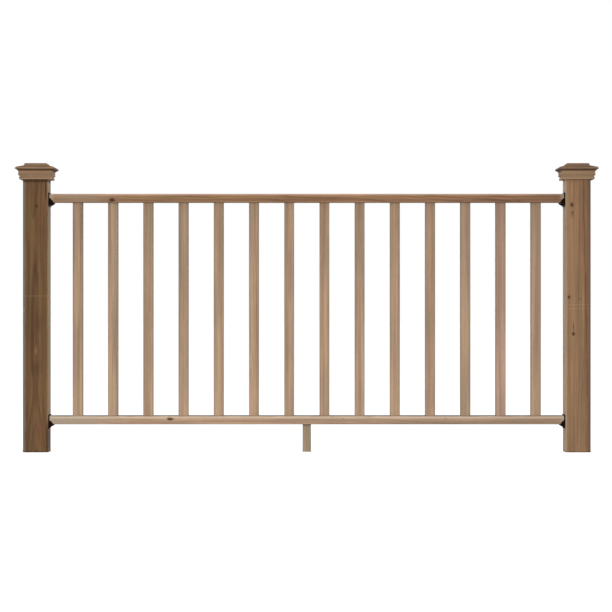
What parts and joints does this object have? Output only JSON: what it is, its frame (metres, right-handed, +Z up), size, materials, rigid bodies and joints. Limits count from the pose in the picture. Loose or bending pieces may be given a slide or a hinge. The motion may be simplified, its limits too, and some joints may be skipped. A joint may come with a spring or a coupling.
{
  "type": "cedar deck railing section",
  "caption": "Straight deck railing bay: two capped square posts, moulded top and bottom rails held in saddle brackets, square balusters between them and a block under the middle.",
  "frame": {"origin": "centre of the left post's foot, on the deck surface", "axes": "+X along the railing from the left post to the right one, +Y through its thickness, away from the viewer, +Z up"},
  "size_m": [2.0574, 0.1396, 1.0223],
  "materials": {
    "post_cedar": "smooth planed cedar, unfinished, matte",
    "cap_cedar": "smooth planed cedar, unfinished, matte",
    "rail_cedar": "smooth planed cedar, unfinished, matte",
    "baluster_cedar": "smooth planed cedar, unfinished, matte",
    "bracket_nylon": "moulded black nylon"
  },
  "bodies": {
    "root": {"left_post": "post_cedar", "left_cap_top": "cap_cedar", "left_cap_skirt_front": "cap_cedar", "left_cap_skirt_back": "cap_cedar", "left_cap_skirt_left": "cap_cedar", "left_cap_skirt_right": "cap_cedar", "right_post": "post_cedar", "right_cap_top": "cap_cedar", "right_cap_skirt_front": "cap_cedar", "right_cap_skirt_back": "cap_cedar", "right_cap_skirt_left": "cap_cedar", "right_cap_skirt_right": "cap_cedar", "top_rail": "rail_cedar", "bottom_rail": "rail_cedar", "baluster_01": "baluster_cedar", "baluster_02": "baluster_cedar", "baluster_03": "baluster_cedar", "baluster_04": "baluster_cedar", "baluster_05": "baluster_cedar", "baluster_06": "baluster_cedar", "baluster_07": "baluster_cedar", "baluster_08": "baluster_cedar", "baluster_09": "baluster_cedar", "baluster_10": "baluster_cedar", "baluster_11": "baluster_cedar", "baluster_12": "baluster_cedar", "baluster_13": "baluster_cedar", "baluster_14": "baluster_cedar", "bracket_top_left": "bracket_nylon", "bracket_top_right": "bracket_nylon", "bracket_bottom_left": "bracket_nylon", "bracket_bottom_right": "bracket_nylon", "support_block": "baluster_cedar"}
  },
  "joints": []
}
